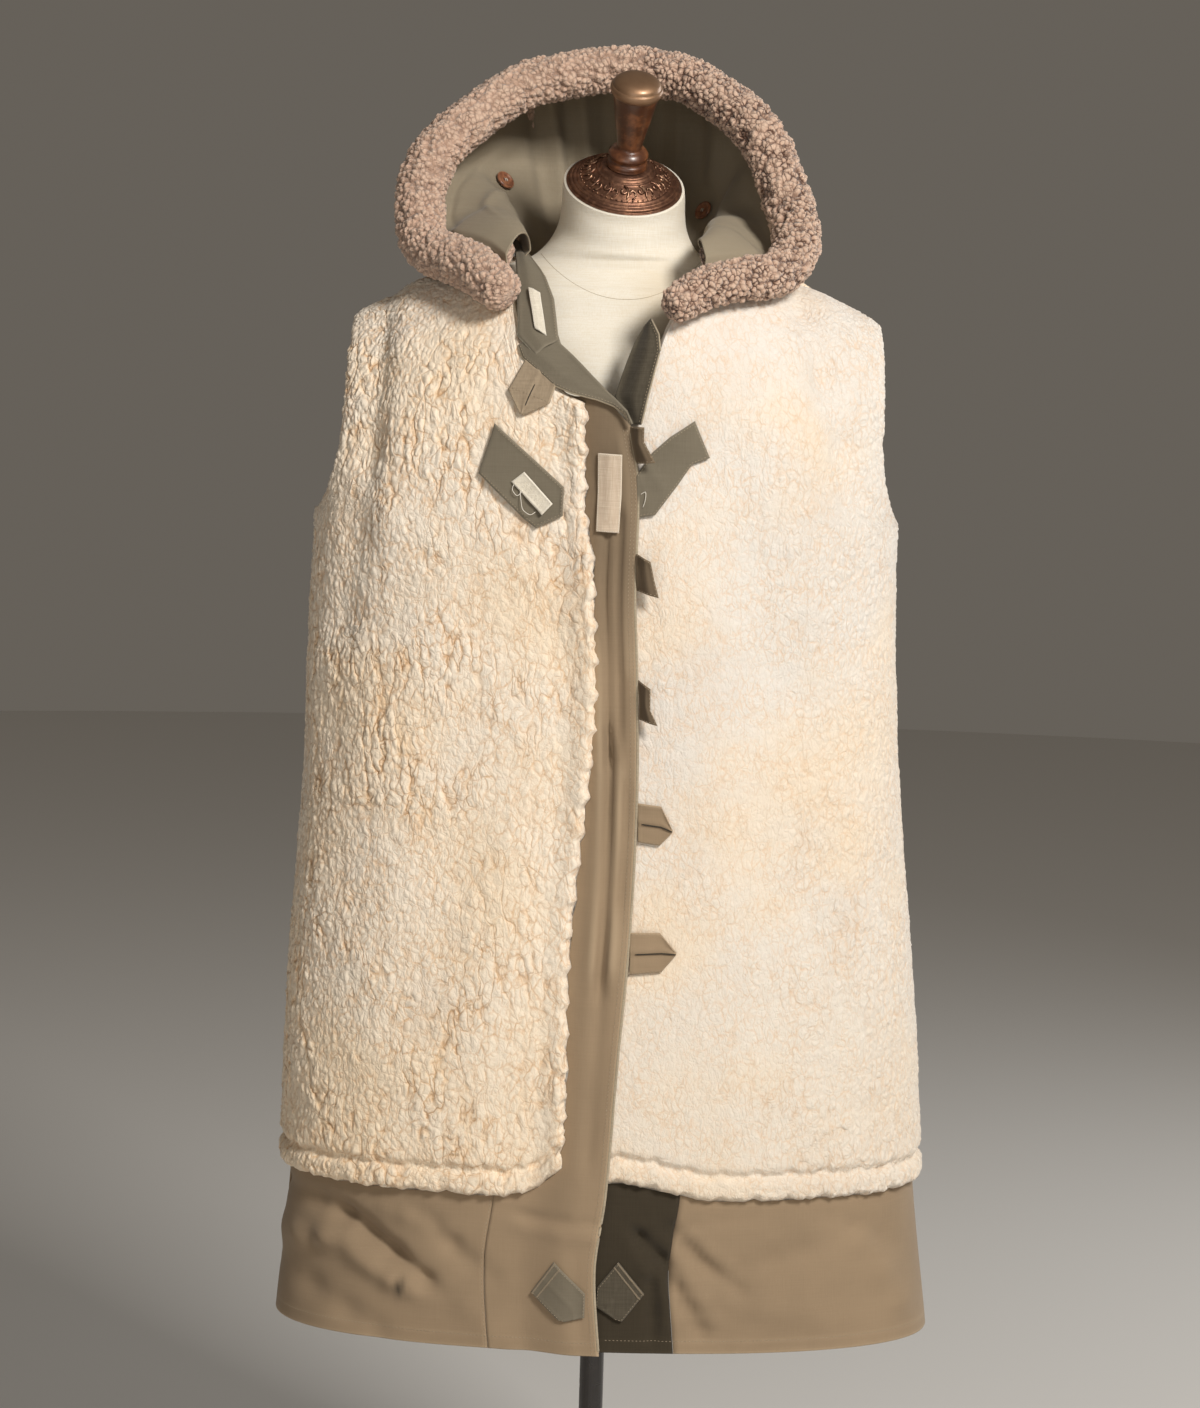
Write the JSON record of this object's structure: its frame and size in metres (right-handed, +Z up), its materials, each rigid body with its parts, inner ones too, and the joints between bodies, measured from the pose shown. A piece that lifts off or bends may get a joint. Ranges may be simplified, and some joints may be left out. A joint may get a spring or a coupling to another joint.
{
  "type": "sleeveless hooded shearling coat on a dress form and stand",
  "caption": "Sleeveless shearling coat worn fleece out, with a fur-edged hood, canvas hem and button tabs, on a limbless dress form with a neck finial, pole and round base.",
  "frame": {"origin": "centre of the base's underside, on the floor", "axes": "+Z up; -Y is the wearer's front; +X is the wearer's left"},
  "size_m": [0.64, 0.4, 1.6635],
  "materials": {
    "fleece_cream": "matt curled cream shearling wool, about 11 mm deep, yellowed to peach in its cracks",
    "canvas_tan": "matt worn tan cotton canvas, topstitched",
    "canvas_olive": "matt unfaded olive cotton canvas",
    "cotton_grey": "matt olive-grey slubby cotton",
    "tape_white": "off-white cotton tape",
    "fur_brown": "tightly curled brown pile",
    "button_brown": "satin brown four-hole buttons",
    "linen_offwhite": "tight off-white linen cover",
    "bronze": "dark aged bronze, relief scrollwork",
    "wood_walnut": "polished dark walnut with a bronze bead",
    "pole_brown": "near-black brown gloss enamel"
  },
  "bodies": {
    "root": {"base": "pole_brown", "chest_patch": "tape_white", "chest_strap_left": "cotton_grey", "chest_strap_right": "cotton_grey", "collar_left": "cotton_grey", "facing_left_front": "canvas_olive", "facing_right_front": "canvas_tan", "finial": "wood_walnut", "fleece_back": "fleece_cream", "fleece_left_front": "fleece_cream", "fleece_right_front": "fleece_cream", "form_body": "linen_offwhite", "front_tab_1": "canvas_tan", "front_tab_2": "canvas_tan", "front_tab_3": "canvas_tan", "front_tab_4": "canvas_tan", "front_tab_5": "canvas_tan", "hem_tab_left": "cotton_grey", "hem_tab_right": "cotton_grey", "hood_button_1": "button_brown", "hood_button_2": "button_brown", "hood_button_3": "button_brown", "hood_fur": "fur_brown", "hood_lining_left": "cotton_grey", "hood_lining_right": "cotton_grey", "hood_trim": "fur_brown", "label_patch": "tape_white", "lapel_right": "cotton_grey", "neck_cap": "bronze", "pole": "pole_brown", "pole_collar": "bronze", "shell_back": "canvas_tan", "shell_left_front": "canvas_tan", "shell_right_front": "canvas_tan", "throat_band": "cotton_grey", "throat_patch": "tape_white", "throat_tab": "canvas_tan"}
  },
  "joints": []
}
